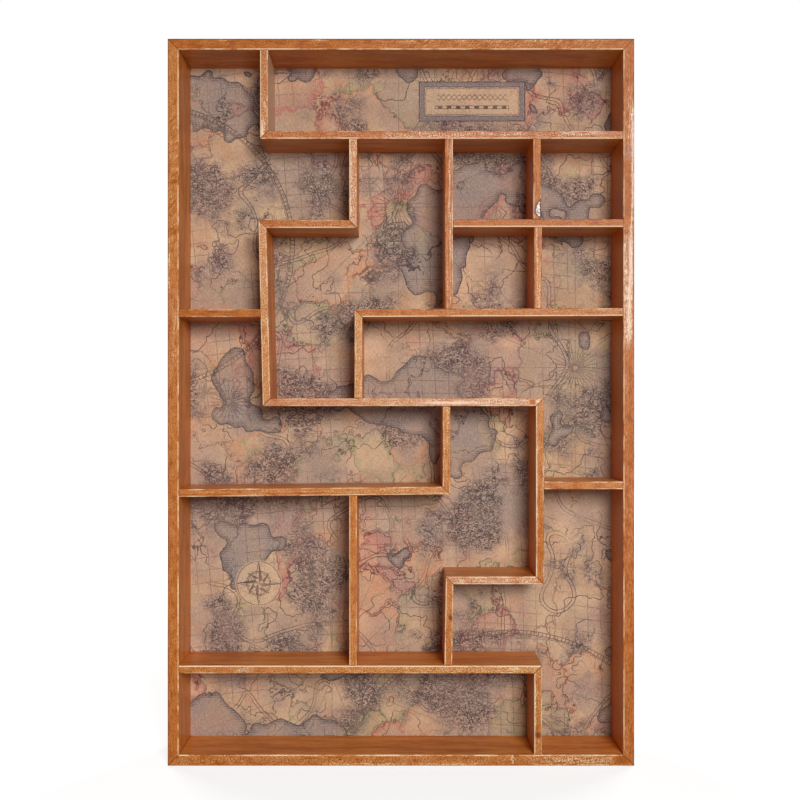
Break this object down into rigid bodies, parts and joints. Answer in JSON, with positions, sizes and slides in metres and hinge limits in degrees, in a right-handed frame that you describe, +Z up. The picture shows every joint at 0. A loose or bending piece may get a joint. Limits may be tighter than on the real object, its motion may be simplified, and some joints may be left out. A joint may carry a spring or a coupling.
{
  "type": "compartment wall shelf",
  "caption": "Shallow wooden wall shelf: a mitred frame with thin dividers that part it into stepped compartments before a printed backing, with keyhole hangers behind.",
  "frame": {"origin": "under the middle of the shelf, at the height of its base", "axes": "+X to the right as seen from the front, +Y to the back, +Z up; the open front faces -Y"},
  "size_m": [0.385, 0.05, 0.5999],
  "materials": {
    "frame_wood": "orange-brown stain under a thin satin varnish, worn pale along the arrises",
    "divider_wood": "orange-brown stain under a thin satin varnish, worn pale along the arrises",
    "plywood": "bare plywood, lightly sanded",
    "printed_canvas": "matt linen-textured sheet with a faded print",
    "nail_steel": "plain drawn steel",
    "hanger_steel": "zinc plated, satin",
    "screw_steel": "zinc plated, satin"
  },
  "bodies": {
    "root": {"frame_top": "frame_wood", "frame_bottom": "frame_wood", "frame_left": "frame_wood", "frame_right": "frame_wood", "upright_1a": "divider_wood", "upright_1b": "divider_wood", "upright_2a": "divider_wood", "upright_2b": "divider_wood", "upright_2c": "divider_wood", "upright_3a": "divider_wood", "upright_3b": "divider_wood", "upright_3c": "divider_wood", "upright_4a": "divider_wood", "upright_4b": "divider_wood", "upright_4c": "divider_wood", "upright_4d": "divider_wood", "shelf_1": "divider_wood", "shelf_2a": "divider_wood", "shelf_2b": "divider_wood", "shelf_3a": "divider_wood", "shelf_3b": "divider_wood", "shelf_4": "divider_wood", "shelf_5a": "divider_wood", "shelf_5b": "divider_wood", "shelf_6": "divider_wood", "shelf_7": "divider_wood", "back_panel": "plywood", "printed_backing": "printed_canvas", "corner_nails": "nail_steel", "frame_nails": "nail_steel", "divider_nails": "nail_steel", "panel_pins": "nail_steel", "hanger_plate_left": "hanger_steel", "hanger_plate_right": "hanger_steel", "hanger_screws": "screw_steel"}
  },
  "joints": []
}
